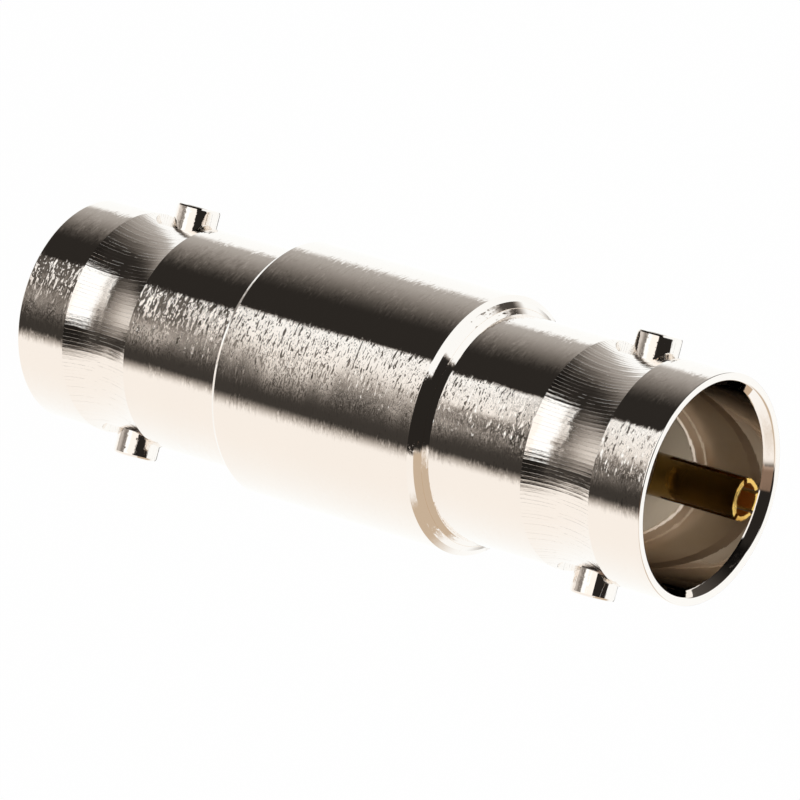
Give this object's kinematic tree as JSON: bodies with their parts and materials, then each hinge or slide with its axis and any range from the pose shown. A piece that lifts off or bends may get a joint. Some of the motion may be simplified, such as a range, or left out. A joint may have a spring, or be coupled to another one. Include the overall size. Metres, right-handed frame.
{
  "type": "coaxial adapter",
  "caption": "Straight coaxial adapter with a bayonet jack at each end, a thick middle sleeve, milled lug bands and slotted socket contacts.",
  "frame": {"origin": "centre of the lower jack's mouth, on the surface that the adapter stands on", "axes": "+Z along the coaxial axis, from the lower mouth to the upper one; +X through a bayonet lug"},
  "size_m": [0.011, 0.011, 0.0328],
  "materials": {
    "nickel_plate": "bright nickel plate on turned brass",
    "insulator": "white fluoropolymer",
    "gold_plate": "gold plate on a sprung copper alloy"
  },
  "bodies": {
    "root": {"sleeve_body": "nickel_plate", "jack_insert": "nickel_plate", "bead_lower": "insulator", "bead_upper": "insulator", "contact": "gold_plate"}
  },
  "joints": []
}
